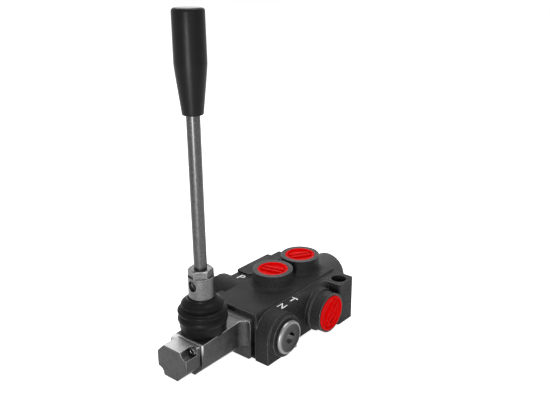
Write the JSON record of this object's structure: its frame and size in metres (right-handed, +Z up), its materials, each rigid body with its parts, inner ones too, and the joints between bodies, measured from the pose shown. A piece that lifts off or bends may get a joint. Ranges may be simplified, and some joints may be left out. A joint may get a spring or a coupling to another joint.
{
  "type": "directional control valve",
  "caption": "Monoblock hydraulic directional control valve with hand lever, rubber boot, sectioned spool, capped ports, relief valve and spring-centring cap.",
  "frame": {"origin": "on the mounting base face, under the crossing of the spool axis and the axis of port A", "axes": "+Z up, away from the mounting base; +Y along the spool towards the spring cap; +X towards ports T and N"},
  "size_m": [0.101, 0.2181, 0.272],
  "materials": {
    "cast_paint": "satin black paint on rough cast iron",
    "cap_paint": "dark grey rough casting",
    "cast_aluminium": "die-cast, matt",
    "ground_steel": "ground",
    "steel": "turned",
    "plated_steel": "zinc plated, satin",
    "dark_steel": "phosphated",
    "seal_rubber": "matt",
    "boot_rubber": "matt moulded",
    "black_plastic": "satin",
    "red_plastic": "satin moulded"
  },
  "bodies": {
    "housing": {"body": "cast_paint", "front_spool_seal": "seal_rubber", "rear_spool_seal": "seal_rubber", "lever_box": "cast_aluminium", "box_screws": "dark_steel", "box_end_cap": "cast_aluminium", "end_cap_screws": "dark_steel", "end_cap_seal": "seal_rubber", "lever_pin": "ground_steel", "spring_cap": "cap_paint", "spring_cap_screws": "dark_steel", "plug_port_a": "red_plastic", "plug_port_b": "red_plastic", "plug_port_t": "red_plastic", "plug_port_p": "red_plastic", "plug_port_n": "dark_steel", "washer_port_n": "seal_rubber", "check_spring": "steel", "check_plug": "dark_steel", "relief_cartridge": "steel", "relief_seal": "seal_rubber", "relief_spring": "steel", "relief_screw": "steel", "relief_locknut": "steel", "relief_cap": "red_plastic"},
    "hand_lever": {"lever_arm": "steel", "lever_boot": "boot_rubber", "lever_head": "plated_steel", "jam_nut": "plated_steel", "lever_rod": "plated_steel", "lever_grip": "black_plastic"},
    "spool_assembly": {"spool": "ground_steel", "spool_tongue": "steel", "stem_bolt": "dark_steel", "inner_spring_seat": "steel", "outer_spring_seat": "steel", "centring_spring": "steel"},
    "load_check": {"check_poppet": "ground_steel"},
    "relief_valve": {"relief_poppet": "ground_steel"}
  },
  "joints": [
    {"name": "lever_hinge", "type": "hinge", "parent": "housing", "child": "hand_lever", "pos_m": [0, -0.0845, 0.039], "axis": [1, 0, 0], "range_deg": [-19, 19], "stiffness_Nm_per_rad": 9, "deforming": ["lever_boot"]},
    {"name": "spool_slide", "type": "slide", "parent": "housing", "child": "spool_assembly", "axis": [0, 1, 0], "range_m": [-0.0063, 0.0063]},
    {"name": "load_check_lift", "type": "slide", "parent": "housing", "child": "load_check", "axis": [-1, 0, 0], "range_m": [0, 0.0015], "stiffness_N_per_m": 900, "springref_m": -0.001, "deforming": ["check_spring"]},
    {"name": "relief_lift", "type": "slide", "parent": "housing", "child": "relief_valve", "axis": [0, 1, 0], "range_m": [0, 0.0015], "stiffness_N_per_m": 4000, "springref_m": -0.001, "deforming": ["relief_spring"]}
  ],
  "couplings": [
    {"joint": "spool_slide", "follows": "lever_hinge", "m_per_rad": 0.019}
  ]
}
